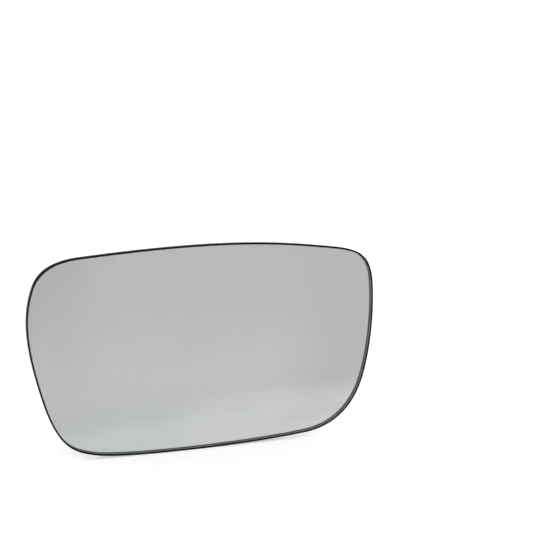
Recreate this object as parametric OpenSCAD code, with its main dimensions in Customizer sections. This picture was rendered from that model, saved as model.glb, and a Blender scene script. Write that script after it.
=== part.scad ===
// Glass of a car door mirror on its moulded backing plate, upright as on the car.
// The glass faces -Y and +Z is up. The origin is the centre of the clip ring, level with the clips' grip.

/* [Edge] */
// Overall width of the mirror
edge_w = 177; // [150:1:215]
// Overall height of the mirror
edge_h = 100; // [96:1:125]
// Width of the plastic lip round the glass
lip_w = 0.6; // [0.5:0.05:1.2]
// How far the lip stands proud of the glass
lip_proud = 0.1; // [0.05:0.05:0.5]
// How far the side leans in from the glass pocket to the rear face
side_lean = 1.1; // [0.5:0.1:1.6]
// Size of the round along the rear edge
rear_round = 0.7; // [0.4:0.1:1]

/* [Glass] */
// Thickness of the glass
glass_t = 2; // [1.6:0.1:3]
// Play between the glass and the lip
glass_play = 0.1; // [0.05:0.05:0.3]
// Width of the small bevel round the front of the glass
arris_w = 0.2; // [0.15:0.05:1]
// Depth of the small bevel
arris_h = 0.2; // [0.15:0.05:0.8]
// Thickness of the foil behind the glass
foil_t = 0.3; // [0.2:0.1:0.8]
// Margin of the foil inside the edge of the glass
foil_margin = 1.5; // [1:0.5:5]

/* [Plate] */
// Thickness of the backing plate behind the foil
plate_t = 1.9; // [1.7:0.1:3]
// Width of each arm of the web inside the ring
arm_w = 10; // [7:0.5:14]
// Distance from the centre to the opening, midway between two arms
web_waist = 20.6; // [17:0.1:24]
// Radius of the inner side of each opening
web_curve = 46; // [40:1:60]
// Ledge left between the openings and the ring wall
open_ledge = 0.6; // [0.4:0.1:1]

/* [Clip ring] */
// Outer radius of the ring, as a share of the overall height
ring_share = 0.43; // [0.42:0.002:0.44]
// Thickness of the ring wall
ring_t = 2.6; // [2:0.1:3.2]
// Height of the ring over the rear face
ring_h = 9; // [9:0.5:13]
// Half angle of the side walls of the ring
side_wall_half = 27; // [26.5:0.5:28]
// Half angle of the top wall of the ring
top_wall_half = 28; // [26.5:0.5:28]
// Half angle of the short bottom wall
bottom_wall_half = 7.5; // [5:0.5:10]
// How far the tips of the clips reach inwards from the outside of the ring
clip_reach = 8.4; // [7.6:0.1:9.2]
// Height of the underside of each clip nose at its tip
clip_under = 6.6; // [5.5:0.1:7]
// Height of the gripping face on each tip
clip_grip = 1.8; // [1.2:0.1:2]
// Angle taken by a clip beside an arm
flank_angle = 10; // [8:0.5:10]
// Angle taken by a wide clip between two arms
wide_angle = 16; // [12:0.5:16]
// Angle taken by a narrow clip
narrow_angle = 5; // [4:0.5:6]
// Distance from the ring to the outside of the guard behind each wide clip
guard_out = 4.8; // [4.2:0.1:6.4]
// Thickness of the guards, guides and ribs
rib_t = 1.6; // [1.2:0.1:2]
// Height of the guards
guard_h = 7.5; // [5:0.5:8]

/* [Cable guides] */
// Height of the bracket-shaped guide near the side edge
hook_h = 5.5; // [3:0.5:8]
// Length of the bracket-shaped guide
hook_l = 15.5; // [12:0.5:18]
// Width of the bracket-shaped guide
hook_w = 11; // [8:0.5:14]
// Height of the long shelf rib below the ring
shelf_h = 9; // [6:0.5:10]
// Length of the long shelf rib
shelf_l = 14; // [11:0.5:16]
// Length of the upright ribs under the shelf
post_l = 12; // [8:0.5:13]

/* [Hidden] */
$fn = 128;

// Levels along the depth, from the rear face of the plate towards the front
foil_z = plate_t;
glass_z = foil_z + foil_t;
face_z = glass_z + glass_t;
lip_z = face_z + lip_proud;
// Depth to which walls are rooted in the plate
root = 0.6;
// Height of the middle of the clips' grip over the rear face
grip_level = clip_under + clip_grip / 2;

// Small round at the front of the lip, and its lean down to the seat of the glass
lip_round = 0.15;
lip_lean = 0.25;
// Gap between the foil and its shallow recess
foil_gap = 0.1;
// Outer and inner radius of the ring wall, radius at the tips of the clips, and radius of the guards
ring_r = edge_h * ring_share;
ring_in = ring_r - ring_t;
clip_tip_r = ring_r - clip_reach;
guard_r = ring_r + guard_out;
// Rise of the underside of a clip's nose from its tip to its root, and its top's step below the rim
nose_rise = 1.2;
nose_top = 0.3;
// Bevel round the outside of the ring's rim
rim_bevel = 1;
// Places of the clips in one quarter of the ring, as angles from its first arm
quarter = 90;
flank_at = 21;
narrow_at = 33;
wide_at = 49;
// Angle by which a guard reaches past its clip, and the free strip before its returns
guard_side = 4;
guard_ledge = 1;
// Two-lobed stub of the moulding gate
gate_r = 1.5;
gate_h = 0.9;
// Bracket-shaped guide: its distance from the side edge, its foot below the centre, its hooked lip
hook_edge = 2.4;
hook_foot = 4.2;
hook_lip = 4;
// Shelf rib: its far end, its height over the level of the lower edge, and its thickness
shelf_end = 47;
shelf_rise = 25;
shelf_t = 2;
// Upright ribs: their drop below the shelf, the step between them, their spacing and heights
post_drop = 5;
post_step = 2;
post_gap = 10;
post_near_h = 4.5;
post_far_h = 6;
// Locating pip: its distance from the side and top levels, its radius and height
pip_side = 38;
pip_top = 13;
pip_r = 0.9;
pip_h = 1;

// Edge of the lip as seen from the front, anticlockwise: the ends of the four bowed sides.
// Each entry is x, height, direction of travel, reach of the curve before it and after it.
edge_ends = [
    [59.5, -50.5, 6, 35, 14],
    [88, -26, 76, 16, 12],
    [88, 24, 101, 18, 15],
    [64, 42.5, 173, 13, 27],
    [-63, 43, 185, 72, 11],
    [-84.5, 30, 254, 9, 14],
    [-76, -24, 291, 28, 25],
    [-49.5, -51, 346, 9, 13]
];
edge_steps = 14;

function along(a, reach) = reach * [cos(a), sin(a)];

function cubic(p, t) =
    pow(1 - t, 3) * p[0] + 3 * pow(1 - t, 2) * t * p[1] + 3 * (1 - t) * t * t * p[2] + pow(t, 3) * p[3];

function cubic_way(p, t) =
    pow(1 - t, 2) * (p[1] - p[0]) + 2 * (1 - t) * t * (p[2] - p[1]) + t * t * (p[3] - p[2]);

// The four control points of the stretch that starts at one end, as drawn
function drawn_stretch(i) =
    let (a = edge_ends[i], b = edge_ends[(i + 1) % len(edge_ends)])
    [[a[0], a[1]], [a[0], a[1]] + along(a[2], a[4]), [b[0], b[1]] - along(b[2], b[3]), [b[0], b[1]]];

// The drawn edge's overall size, to which the two sizes of the mirror compare
drawn_edge = [
    for (i = [0:len(edge_ends) - 1], k = [0:edge_steps - 1]) cubic(drawn_stretch(i), k / edge_steps)
];
drawn_w = max([for (p = drawn_edge) p.x]) - min([for (p = drawn_edge) p.x]);
drawn_h = max([for (p = drawn_edge) p.y]) - min([for (p = drawn_edge) p.y]);

function stretch(i) = [for (p = drawn_stretch(i)) [p.x * edge_w / drawn_w, p.y * edge_h / drawn_h]];

// The edge moved inwards by an even distance
function edge(inset) =
    [for (i = [0:len(edge_ends) - 1], k = [0:edge_steps - 1])
        let (p = stretch(i), t = k / edge_steps, way = cubic_way(p, t))
        cubic(p, t) + inset * [-way.y, way.x] / norm(way)];

// Turns what is drawn in the glass's own plane upright, with its front towards -Y
module upright() {
    translate([0, -grip_level, 0]) rotate([90, 0, 0]) children();
}

module slab(z, height, inset) {
    translate([0, 0, z]) linear_extrude(height) polygon(edge(inset));
}

// Solid skinned over the edge at several levels, each a height and an inset, from the rear to the front
module loft(levels) {
    n = len(edge_ends) * edge_steps;
    last = (len(levels) - 1) * n;
    polyhedron(
        points = [for (level = levels, p = edge(level[1])) [p.x, p.y, level[0]]],
        faces = [
            [for (i = [0:n - 1]) i],
            [for (i = [n - 1:-1:0]) last + i],
            for (row = [0:n:last - n], i = [0:n - 1])
                [row + i, row + n + i, row + n + (i + 1) % n, row + (i + 1) % n]
        ]
    );
}

// Wall standing on the rear face, straight along x or y
module rib(x, y, length, width, height) {
    translate([x, y, -height]) cube([length, width, height + root]);
}

// Part of a revolved ring, centred on an angle
module sector(middle, half, inner, outer, low, high) {
    rotate([0, 0, middle - half]) rotate_extrude(angle = 2 * half)
        translate([inner, low]) square([outer - inner, high - low]);
}

// Free-standing clip: a tongue whose nose points inwards, with a lead-in slope towards the rear
module clip(middle, width) {
    rotate([0, 0, middle - width / 2]) rotate_extrude(angle = width)
        polygon([
            [ring_r, root], [ring_in, root], [ring_in, -clip_under + nose_rise],
            [clip_tip_r, -clip_under], [clip_tip_r, -clip_under - clip_grip],
            [ring_in, nose_top - ring_h], [ring_in, -ring_h],
            [ring_r - rim_bevel, -ring_h], [ring_r, rim_bevel - ring_h]
        ]);
}

// The same nose on the inside of a ring wall
module wall_nose(middle, width) {
    rotate([0, 0, middle - width / 2]) rotate_extrude(angle = width)
        polygon([
            [ring_in + ring_t / 2, -clip_under + nose_rise],
            [clip_tip_r, -clip_under], [clip_tip_r, -clip_under - clip_grip],
            [ring_in + ring_t / 2, nose_top - ring_h]
        ]);
}

// Wall behind a wide clip with two returns towards the ring
module guard() {
    half = wide_angle / 2 + guard_side;
    inner_half = half - atan(rib_t / guard_r);
    start = ring_in + guard_ledge;
    difference() {
        sector(wide_at, half, start, guard_r, -guard_h, root);
        sector(wide_at, inner_half, start - root, guard_r - rib_t, -guard_h - root, 2 * root);
    }
}

// Opening between two arms: the ring's circle against a flatter curve, stopped at the arms
module opening_outline() {
    reach = web_waist + web_curve;
    intersection() {
        circle(r = ring_in - open_ledge);
        translate(along(quarter / 2, reach)) circle(r = web_curve);
        translate([arm_w / 2, arm_w / 2]) square(ring_r);
    }
}

// Wall across the end of one arm. It bears a clip's nose on either side of the arm if it reaches that far,
// and otherwise has a free-standing clip beside each of its ends.
module arm_wall(turn, half) {
    rotate([0, 0, turn - half]) rotate_extrude(angle = 2 * half)
        polygon([
            [ring_r, root], [ring_in, root], [ring_in, -ring_h],
            [ring_r - rim_bevel, -ring_h], [ring_r, rim_bevel - ring_h]
        ]);
    for (side = [-1, 1]) {
        if (half > flank_at + flank_angle / 2) {
            wall_nose(turn + side * flank_at, flank_angle);
        } else {
            clip(turn + side * flank_at, flank_angle);
        }
    }
}

module ring() {
    arm_wall(0, side_wall_half);
    arm_wall(90, top_wall_half);
    arm_wall(180, side_wall_half);
    arm_wall(270, bottom_wall_half);
    for (turn = [0:3]) {
        rotate([0, 0, turn * quarter]) {
            clip(narrow_at, narrow_angle);
            clip(wide_at, wide_angle);
            guard();
        }
    }
}

// Two-lobed stub left by the moulding gate, in the middle of the web
module gate_stub() {
    for (side = [-1, 1]) {
        translate([side * gate_r, side * gate_r / 3, -gate_h]) cylinder(r = gate_r, h = gate_h + root);
    }
}

// Bracket-shaped guide near the side edge, open towards the ring
module hook_guide() {
    translate([edge_w / 2 - hook_edge, -hook_foot, 0]) {
        rib(-rib_t, 0, rib_t, hook_w, hook_h);
        rib(-hook_l, hook_w - rib_t, hook_l, rib_t, hook_h);
        rib(-hook_l, 0, hook_l, rib_t, hook_h);
        rib(-hook_l, 0, rib_t, hook_lip, hook_h);
    }
}

// Shelf rib and the two upright ribs under it
module shelf_guide() {
    translate([-shelf_end, shelf_rise - edge_h / 2, 0]) {
        rib(0, -shelf_t, shelf_l, shelf_t, shelf_h);
        rib(0, -post_drop - post_l, rib_t, post_l, post_near_h);
        rib(post_gap, -post_drop - post_l - post_step, rib_t, post_l, post_far_h);
    }
}

// Small locating pip near the upper edge
module pip() {
    translate([edge_w / 2 - pip_side, edge_h / 2 - pip_top, -pip_h]) cylinder(r = pip_r, h = pip_h + root);
}

module mirror_glass() {
    inset = lip_w + glass_play;
    color("lightgray") upright() loft([
        [glass_z, inset],
        [face_z - arris_h, inset],
        [face_z, inset + arris_w]
    ]);
}

module heater_foil() {
    color("silver") upright() slab(foil_z, foil_t, lip_w + glass_play + foil_margin);
}

module backing_plate() {
    color([0.1, 0.1, 0.11]) upright() {
        difference() {
            loft([
                [0, side_lean + rear_round],
                [rear_round / 3, side_lean + rear_round / 3],
                [rear_round, side_lean],
                [glass_z, lip_lean],
                [lip_z - lip_round, 0],
                [lip_z, lip_round]
            ]);
            slab(glass_z, lip_z, lip_w);
            slab(foil_z, lip_z, lip_w + glass_play + foil_margin - foil_gap);
            for (turn = [0:3]) {
                rotate([0, 0, turn * quarter]) translate([0, 0, -root])
                    linear_extrude(plate_t + 2 * root) opening_outline();
            }
        }
        ring();
        gate_stub();
        hook_guide();
        shelf_guide();
        pip();
    }
}

mirror_glass();
heater_foil();
backing_plate();
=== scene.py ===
import bpy
from mathutils import Matrix, Vector


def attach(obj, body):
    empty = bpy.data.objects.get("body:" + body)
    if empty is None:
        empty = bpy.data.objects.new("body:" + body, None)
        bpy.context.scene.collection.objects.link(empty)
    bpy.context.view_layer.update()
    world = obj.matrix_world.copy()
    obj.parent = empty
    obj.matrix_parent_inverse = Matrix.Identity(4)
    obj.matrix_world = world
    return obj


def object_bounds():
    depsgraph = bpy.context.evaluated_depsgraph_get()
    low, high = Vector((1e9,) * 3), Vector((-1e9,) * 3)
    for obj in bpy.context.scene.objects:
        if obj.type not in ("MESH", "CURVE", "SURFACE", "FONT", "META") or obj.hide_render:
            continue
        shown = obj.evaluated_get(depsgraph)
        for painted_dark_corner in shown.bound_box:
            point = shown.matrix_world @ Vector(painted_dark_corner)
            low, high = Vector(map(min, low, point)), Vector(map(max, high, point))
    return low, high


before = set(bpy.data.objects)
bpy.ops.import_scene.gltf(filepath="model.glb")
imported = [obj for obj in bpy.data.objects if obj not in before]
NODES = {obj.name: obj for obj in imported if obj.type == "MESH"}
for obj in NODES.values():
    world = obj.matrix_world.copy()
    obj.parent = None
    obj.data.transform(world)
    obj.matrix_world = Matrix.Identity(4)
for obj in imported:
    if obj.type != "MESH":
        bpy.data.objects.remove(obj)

CAD_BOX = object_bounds()
MM = 0.001

# Depths in the part, front to rear; the front of the glass looks along -Y.
LIP_Y = -11.7 * MM  # faces of the plate in front of this are the lip
FRONT_Y = -11.6 * MM  # where the painted light on the glass's ground side begins; it pales from here towards the silver
GLASS_REAR_Y = -9.7 * MM
SILVER_DEPTH = 0.03 * MM  # how far inside the glass's rear the silver lies
SILVER_SHARE = 0.9996  # of the glass's width and height that the silver covers
REAR_Y = -7.5 * MM  # rear face of the plate
ROUND_Y = REAR_Y - 0.6 * MM  # rounds of the plate's rear edge lie behind this
RIM_Y = REAR_Y - 0.05 * MM  # the plate's side lies in front of this

STRIPE_STEP = 2.0 * MM  # from one printed stripe to the next
WELD = 1e7  # corners less than a tenth of a micrometre apart count as one

# The stage: strengths seen by the camera, in mirrors and by all else.
FLOOR_Z = CAD_BOX[0].z
FLOOR_SIZE = 6.0
FLOOR_GLOW = 0.38
FLOOR_MIRRORED = 0.49
SKY = 0.8
SKY_SEEN = 1.0

CAMERA_PLACE = (-0.34382, -0.68217, 0.25137)
CAMERA_RIGHT = (0.8788, -0.4675, 0.0956)
CAMERA_BACK = (-0.4745, -0.8350, 0.2787)
CAMERA_LENS = 111.064
SENSOR = 36.0


class Tree:
    """A material's nodes, with short calls for the few kinds used here."""

    def __init__(self, name):
        self.material = bpy.data.materials.new(name)
        self.material.use_nodes = True
        self.nodes = self.material.node_tree.nodes
        self.links = self.material.node_tree.links
        self.shader = self.nodes["Principled BSDF"]
        self.output = self.nodes["Material Output"]
        self.place = self.nodes.new("ShaderNodeTexCoord").outputs["Object"]
        self.normal = self.nodes.new("ShaderNodeNewGeometry").outputs["Normal"]

    def set(self, **values):
        """Constants on the shader's own sockets; _ in a name stands for a blank."""
        for name, value in values.items():
            self.shader.inputs[name.replace("_", " ")].default_value = value

    def plug(self, name, output):
        """A node's output into one of the shader's sockets."""
        self.links.new(output, self.shader.inputs[name])

    def feed(self, node, entry, value):
        """A number or another node's output into a node's socket."""
        if hasattr(value, "links"):
            self.links.new(value, node.inputs[entry])
        else:
            node.inputs[entry].default_value = value

    def math(self, operation, a, b=0.0):
        node = self.nodes.new("ShaderNodeMath")
        node.operation = operation
        self.feed(node, 0, a)
        self.feed(node, 1, b)
        return node.outputs[0]

    def split(self, vector):
        """X, Y and Z of a place or normal."""
        node = self.nodes.new("ShaderNodeSeparateXYZ")
        self.links.new(vector, node.inputs[0])
        return node.outputs

    def smooth(self, value, low, high, from_value=0.0, to_value=1.0):
        """A soft step from from_value at low to to_value at high."""
        node = self.nodes.new("ShaderNodeMapRange")
        node.interpolation_type = "SMOOTHSTEP"
        self.feed(node, "Value", value)
        self.feed(node, "From Min", low)
        self.feed(node, "From Max", high)
        self.feed(node, "To Min", from_value)
        self.feed(node, "To Max", to_value)
        return node.outputs["Result"]

    def noise(self, scale, detail=2.0, roughness=0.5):
        node = self.nodes.new("ShaderNodeTexNoise")
        node.inputs["Scale"].default_value = scale
        node.inputs["Detail"].default_value = detail
        node.inputs["Roughness"].default_value = roughness
        self.links.new(self.place, node.inputs["Vector"])
        return node.outputs["Fac"]

    def mix(self, amount, a, b):
        node = self.nodes.new("ShaderNodeMix")
        node.data_type = "RGBA"
        self.feed(node, 0, amount)
        for entry, value in ((6, a), (7, b)):
            if hasattr(value, "links"):
                self.links.new(value, node.inputs[entry])
            else:
                node.inputs[entry].default_value = (*value, 1.0)
        return node.outputs[2]

    def bump(self, height, strength, distance):
        node = self.nodes.new("ShaderNodeBump")
        node.inputs["Strength"].default_value = strength
        node.inputs["Distance"].default_value = distance
        self.links.new(height, node.inputs["Height"])
        self.plug("Normal", node.outputs["Normal"])


def put_on(node_name, *materials, pick=None):
    """Gives a CAD node its materials. pick turns a face into the place of its material in the list."""
    mesh = NODES[node_name].data
    mesh.materials.clear()
    for material in materials:
        mesh.materials.append(material)
    for face in mesh.polygons:
        face.material_index = pick(face) if pick else 0


def clear_glass():
    """The glass before its silver: clear, very slightly green, with a breath of haze."""
    tree = Tree("clear_glass")
    haze = tree.smooth(tree.noise(22.0, 4.0), 0.35, 0.75)
    tree.plug("Base Color", tree.mix(haze, (0.975, 0.985, 0.978), (0.962, 0.974, 0.966)))
    tree.set(Roughness=0.0, IOR=1.52, Transmission_Weight=1.0)
    return tree.material


def ground_edge():
    """Ground side and bevel of the glass: matt and greenish; the side is painted paler towards the silver as
    painted light, and the bevel carries painted light and shade, pale where it faces left and near black where it
    faces up, right or down.
    """
    tree = Tree("ground_edge")
    normal = tree.split(tree.normal)
    # painted light: the ground side pales from the front towards the silver
    depth = tree.smooth(tree.split(tree.place)[1], FRONT_Y, GLASS_REAR_Y)
    bevel = tree.smooth(tree.math("ABSOLUTE", normal[1]), 0.2, 0.5)
    # painted light and shade on the bevel: pale where it faces left, near black elsewhere
    left = tree.math("MULTIPLY", normal[0], -1.0)
    pale = tree.smooth(tree.math("MINIMUM", left, tree.math("SUBTRACT", left, normal[2])), 0.15, 0.5)
    grain = tree.noise(1500.0, 3.0)
    side = tree.mix(depth, (0.15, 0.162, 0.15), (0.37, 0.39, 0.37))
    bevel_painted_light = tree.mix(pale, (0.045, 0.05, 0.045), (0.50, 0.51, 0.50))
    colour = tree.mix(bevel, side, bevel_painted_light)
    tree.plug("Base Color", tree.mix(tree.smooth(grain, 0.3, 0.7, 0.0, 0.2), colour, (0.02, 0.022, 0.02)))
    tree.plug("Roughness", tree.smooth(grain, 0.3, 0.7, 0.42, 0.6))
    tree.bump(grain, 0.2, 0.05 * MM)
    return tree.material


def silver():
    """Silvering behind the glass: a dim chrome with a painted reflection graded by place: darker at the top, the
    left end and the upper-left corner, greyer at the right, brighter towards its foot and greener at its lower
    left.
    """
    tree = Tree("silver")
    x, _, z = tree.split(tree.place)
    # painted reflection: the silver's colour is graded by height and side to stand in for the mirrored studio
    cloud = tree.math("MULTIPLY", tree.math("SUBTRACT", tree.noise(16.0, 2.0), 0.5), 12 * MM)
    level = tree.math("ADD", tree.math("ADD", z, tree.math("MULTIPLY", x, -0.06)), cloud)
    middle = tree.smooth(level, -22 * MM, 22 * MM, 1.0, 0.0)
    foot = tree.smooth(level, -44 * MM, -24 * MM, 1.0, 0.0)
    base = tree.smooth(level, -53 * MM, -44 * MM, 1.0, 0.0)
    green = tree.smooth(x, -25 * MM, 5 * MM, 1.0, 0.0)
    side = tree.smooth(x, 30 * MM, 80 * MM)
    # painted shade in the reflection: the left end and the upper-left corner are darkened towards black
    painted_dark_left = tree.smooth(x, -70 * MM, -40 * MM, 0.05, 0.0)
    painted_dark_corner = tree.smooth(tree.math("SUBTRACT", z, x), 75 * MM, 125 * MM, 0.0, 0.08)
    colour = tree.mix(middle, (0.340, 0.338, 0.333), (0.376, 0.386, 0.382))
    colour = tree.mix(side, colour, (0.328, 0.328, 0.322))
    low = tree.mix(green, (0.508, 0.520, 0.515), (0.489, 0.520, 0.494))
    colour = tree.mix(foot, colour, tree.mix(side, low, (0.438, 0.446, 0.440)))
    colour = tree.mix(base, colour, tree.mix(green, (0.543, 0.555, 0.550), (0.522, 0.555, 0.527)))
    colour = tree.mix(tree.math("ADD", painted_dark_left, painted_dark_corner), colour, (0.0, 0.0, 0.0))
    tree.plug("Base Color", colour)
    tree.plug("Roughness", tree.smooth(tree.noise(60.0, 3.0), 0.3, 0.7, 0.012, 0.02))
    tree.set(Metallic=1.0)
    return tree.material


def printed_foil():
    """Silvery film: arched, uneven stripes on its upper half, fine dark specks and a seam on the lower."""
    tree = Tree("printed_foil")
    x, _, z = tree.split(tree.place)
    arch = tree.math("MULTIPLY", tree.math("MULTIPLY", x, x), 3.0)
    sway = tree.math("MULTIPLY", tree.math("SUBTRACT", tree.noise(60.0, 3.0), 0.5), 4.2 * MM)
    line = tree.math("ADD", tree.math("ADD", z, arch), sway)
    phase = tree.math("FRACT", tree.math("MULTIPLY", line, 1.0 / STRIPE_STEP))
    away = tree.math("ABSOLUTE", tree.math("SUBTRACT", phase, 0.5))
    width = tree.smooth(tree.noise(110.0, 2.0), 0.3, 0.7, 0.1, 0.4)
    track = tree.smooth(away, 0.0, width, 1.0, 0.0)
    patch = tree.noise(140.0, 4.0)
    grain = tree.noise(2600.0, 3.0, 0.6)
    plain = tree.mix(patch, (0.66, 0.645, 0.60), (0.80, 0.785, 0.74))
    striped = tree.mix(tree.math("MULTIPLY", track, 0.8), plain, (0.27, 0.255, 0.23))
    striped = tree.mix(tree.smooth(grain, 0.3, 0.75, 0.0, 0.25), striped, (0.5, 0.49, 0.46))
    speck = tree.smooth(grain, 0.50, 0.60)
    cool = tree.smooth(x, -6 * MM, 6 * MM, 1.0, 0.0)
    ground = tree.mix(cool, (0.74, 0.74, 0.74), (0.62, 0.67, 0.675))
    ground = tree.mix(tree.smooth(patch, 0.35, 0.65), ground, (0.80, 0.82, 0.82))
    speck = tree.math("MULTIPLY", speck, tree.smooth(cool, 0.0, 1.0, 0.8, 0.5))
    mottled = tree.mix(speck, ground, (0.14, 0.14, 0.15))
    seam = tree.smooth(tree.math("ABSOLUTE", tree.math("ADD", z, 26 * MM)), 0.1 * MM, 0.4 * MM, 1.0, 0.0)
    mottled = tree.mix(tree.math("MULTIPLY", seam, cool), mottled, (0.85, 0.86, 0.86))
    lower = tree.smooth(tree.math("ADD", z, sway), -9 * MM, -5 * MM, 1.0, 0.0)
    tree.plug("Base Color", tree.mix(lower, striped, mottled))
    tree.set(Metallic=0.1, Roughness=0.4)
    tree.bump(tree.math("ADD", tree.math("MULTIPLY", track, -1.0), grain), 0.3, 0.15 * MM)
    return tree.material


def satin_plastic():
    """Moulded back: a satin skin on the flat rear face; its walls, clips and ribs are the same plastic painted
    far darker, a painted shade.
    """
    tree = Tree("satin_plastic")
    facing = tree.math("ABSOLUTE", tree.split(tree.normal)[1])
    broad = tree.noise(14.0, 3.0)
    fine = tree.noise(1400.0, 3.0)
    off = tree.math("ABSOLUTE", tree.math("SUBTRACT", tree.split(tree.place)[1], REAR_Y))
    rear = tree.math("MULTIPLY", tree.smooth(facing, 0.85, 0.97), tree.smooth(off, 0.4 * MM, 0.8 * MM, 1.0, 0.0))
    skin = tree.mix(broad, (0.0175, 0.018, 0.018), (0.0235, 0.024, 0.024))
    # painted shade: every face but the flat rear face gets a near-black colour; the same mask makes the rear face
    # rougher
    dark = tree.mix(broad, (0.003, 0.003, 0.0033), (0.005, 0.005, 0.0055))
    tree.plug("Base Color", tree.mix(rear, dark, skin))
    tree.plug("Roughness", tree.smooth(rear, 0.0, 1.0, 0.3, 0.5))
    tree.set(Specular_IOR_Level=0.14)
    tree.bump(fine, 0.12, 0.1 * MM)
    return tree.material


def glossy_plastic():
    """Small slopes and rounds of the moulding that face the rear: polished, so that they catch the light."""
    tree = Tree("glossy_plastic")
    broad = tree.noise(20.0, 3.0)
    fine = tree.noise(900.0, 3.0)
    # painted shade: as dark as the walls of satin_plastic, far darker than the flat rear face
    tree.plug("Base Color", tree.mix(broad, (0.003, 0.003, 0.0033), (0.006, 0.006, 0.0066)))
    tree.plug("Roughness", tree.smooth(fine, 0.3, 0.7, 0.14, 0.24))
    tree.set(Specular_IOR_Level=0.4)
    tree.bump(fine, 0.08, 0.05 * MM)
    return tree.material


def rim_plastic():
    """Side and lip of the moulding: smooth, and painted near black, a painted shade darker than the rear face of
    the same plastic.
    """
    tree = Tree("rim_plastic")
    broad = tree.noise(20.0, 3.0)
    fine = tree.noise(1100.0, 3.0)
    # painted shade: near black, far darker than the flat rear face of the same plastic
    tree.plug("Base Color", tree.mix(broad, (0.0015, 0.0015, 0.0017), (0.003, 0.003, 0.0033)))
    tree.plug("Roughness", tree.smooth(fine, 0.3, 0.7, 0.24, 0.32))
    tree.set(Specular_IOR_Level=0.05)
    tree.bump(fine, 0.06, 0.05 * MM)
    return tree.material


def glass_slot(face):
    """Front and rear: clear glass. Sides and bevel: ground."""
    return 0 if abs(face.normal.y) > 0.99 else 1


def outline_of(node_name, pick):
    """The corners, in order, round the faces that pick chooses; their triangles share no corners."""
    mesh = NODES[node_name].data
    spot = {}
    uses = {}
    for face in mesh.polygons:
        if not pick(face):
            continue
        keys = []
        for v in face.vertices:
            place = mesh.vertices[v].co
            key = tuple(round(c * WELD) for c in place)
            spot[key] = place.copy()
            keys.append(key)
        for i, key in enumerate(keys):
            edge = frozenset((key, keys[i - 1]))
            uses[edge] = uses.get(edge, 0) + 1
    around = {}
    for edge in (edge for edge, count in uses.items() if count == 1):
        one, other = edge
        around.setdefault(one, []).append(other)
        around.setdefault(other, []).append(one)
    start = min(around)
    loop, last, here = [start], None, start
    while True:
        onward = next(key for key in sorted(around[here]) if key != last)
        if onward == start and last is not None:
            return [spot[key] for key in loop]
        loop.append(onward)
        last, here = here, onward


def make_silvering(material):
    """The silver layer: the outline of the glass's rear, a hair inside the glass."""
    places = outline_of("mirror_glass", lambda face: face.normal.y > 0.99)
    middle = sum(places, Vector()) / len(places)
    points = []
    for place in places:
        arm = (place - middle) * SILVER_SHARE
        points.append((middle.x + arm.x, middle.y - SILVER_DEPTH, middle.z + arm.z))
    mesh = bpy.data.meshes.new("silvering")
    mesh.from_pydata(points, [], [range(len(points))])
    mesh.materials.append(material)
    silvering = bpy.data.objects.new("silvering", mesh)
    bpy.context.scene.collection.objects.link(silvering)
    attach(silvering, "root")


def plate_slot(face):
    """Rear and moulded parts: satin. Side and lip: rim. Slopes that face the rear: glossy."""
    if 0.3 < face.normal.y < 0.95 and face.center.y > ROUND_Y:
        return 2
    return 1 if face.center.y < LIP_Y or face.center.y < RIM_Y and abs(face.normal.y) < 0.9 else 0


def floor_material():
    """Pale and matt, with a glow for the camera and mirrors alone, so that it looks white."""
    tree = Tree("pale_floor")
    tree.set(Roughness=0.9, Specular_IOR_Level=0.0)
    tree.plug("Base Color", tree.mix(tree.noise(3.0, 2.0), (0.79, 0.79, 0.79), (0.81, 0.81, 0.81)))
    path = tree.nodes.new("ShaderNodeLightPath")
    mirrored = tree.math("MAXIMUM", path.outputs["Is Glossy Ray"], path.outputs["Is Transmission Ray"])
    straight = tree.math("MULTIPLY", path.outputs["Is Camera Ray"], FLOOR_GLOW)
    strength = tree.math("ADD", straight, tree.math("MULTIPLY", mirrored, FLOOR_MIRRORED))
    glow = tree.nodes.new("ShaderNodeEmission")
    glow.inputs["Color"].default_value = (1.0, 1.0, 1.0, 1.0)
    tree.links.new(strength, glow.inputs["Strength"])
    add = tree.nodes.new("ShaderNodeAddShader")
    tree.links.new(tree.shader.outputs[0], add.inputs[0])
    tree.links.new(glow.outputs[0], add.inputs[1])
    tree.links.new(add.outputs[0], tree.output.inputs["Surface"])
    return tree.material


def make_floor():
    """The floor lies at the object's lowest point."""
    mesh = bpy.data.meshes.new("floor")
    h = FLOOR_SIZE / 2
    mesh.from_pydata([(-h, -h, FLOOR_Z), (h, -h, FLOOR_Z), (h, h, FLOOR_Z), (-h, h, FLOOR_Z)], [], [(0, 1, 2, 3)])
    mesh.materials.append(floor_material())
    floor = bpy.data.objects.new("floor", mesh)
    bpy.context.scene.collection.objects.link(floor)


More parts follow.
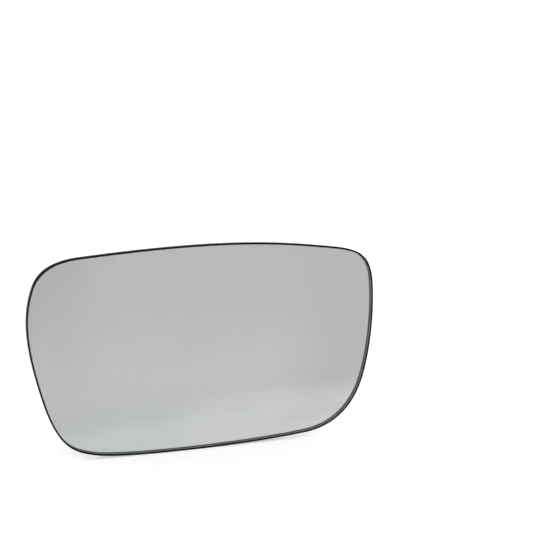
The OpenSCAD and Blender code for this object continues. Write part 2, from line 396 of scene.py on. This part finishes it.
def make_world():
    """An even pale sky, white to the camera and in mirrors."""
    world = bpy.data.worlds.new("studio")
    bpy.context.scene.world = world
    world.use_nodes = True
    nodes, links = world.node_tree.nodes, world.node_tree.links
    background = nodes["Background"]
    path = nodes.new("ShaderNodeLightPath")
    seen = path.outputs["Is Camera Ray"]
    for name in ("Is Glossy Ray", "Is Transmission Ray"):
        node = nodes.new("ShaderNodeMath")
        node.operation = "MAXIMUM"
        links.new(seen, node.inputs[0])
        links.new(path.outputs[name], node.inputs[1])
        seen = node.outputs[0]
    strength = nodes.new("ShaderNodeMapRange")
    links.new(seen, strength.inputs["Value"])
    strength.inputs["To Min"].default_value = SKY
    strength.inputs["To Max"].default_value = SKY_SEEN
    background.inputs["Color"].default_value = (1.0, 1.0, 1.0, 1.0)
    links.new(strength.outputs["Result"], background.inputs["Strength"])


def add_area(name, place, target, size, power):
    """A soft round lamp; mirrors don't throw its light on the floor."""
    lamp = bpy.data.lights.new(name, "AREA")
    lamp.shape = "DISK"
    lamp.size = size
    lamp.energy = power
    lamp_object = bpy.data.objects.new(name, lamp)
    lamp_object.location = place
    lamp_object.rotation_euler = (Vector(target) - Vector(place)).to_track_quat("-Z", "Y").to_euler()
    lamp_object.visible_transmission = False
    bpy.context.scene.collection.objects.link(lamp_object)


def make_camera():
    """The camera at the photograph's angle; its up is square to its right and back."""
    right = Vector(CAMERA_RIGHT).normalized()
    back = Vector(CAMERA_BACK).normalized()
    up = back.cross(right).normalized()
    right = up.cross(back)
    camera = bpy.data.objects.new("camera", bpy.data.cameras.new("camera"))
    camera.data.sensor_width = SENSOR
    camera.data.lens = CAMERA_LENS
    camera.data.clip_start = 0.01
    axes = Matrix((right, up, back)).transposed()
    camera.matrix_world = Matrix.Translation(CAMERA_PLACE) @ axes.to_4x4()
    bpy.context.scene.collection.objects.link(camera)
    bpy.context.scene.camera = camera


put_on("mirror_glass", clear_glass(), ground_edge(), pick=glass_slot)
make_silvering(silver())
put_on("heater_foil", printed_foil())
put_on("backing_plate", satin_plastic(), rim_plastic(), glossy_plastic(), pick=plate_slot)
make_floor()
make_world()
add_area("key", (-0.45, -0.6, 0.9), (0.0, -0.1, 0.0), 0.7, 3.0)
add_area("fill", (0.8, -0.3, 0.7), (0.0, 0.0, 0.0), 0.6, 1.0)
add_area("rear", (-0.1, 0.5, 1.1), (0.0, 0.0, 0.0), 0.25, 2.6)
make_camera()
bpy.context.scene.view_settings.view_transform = "Standard"
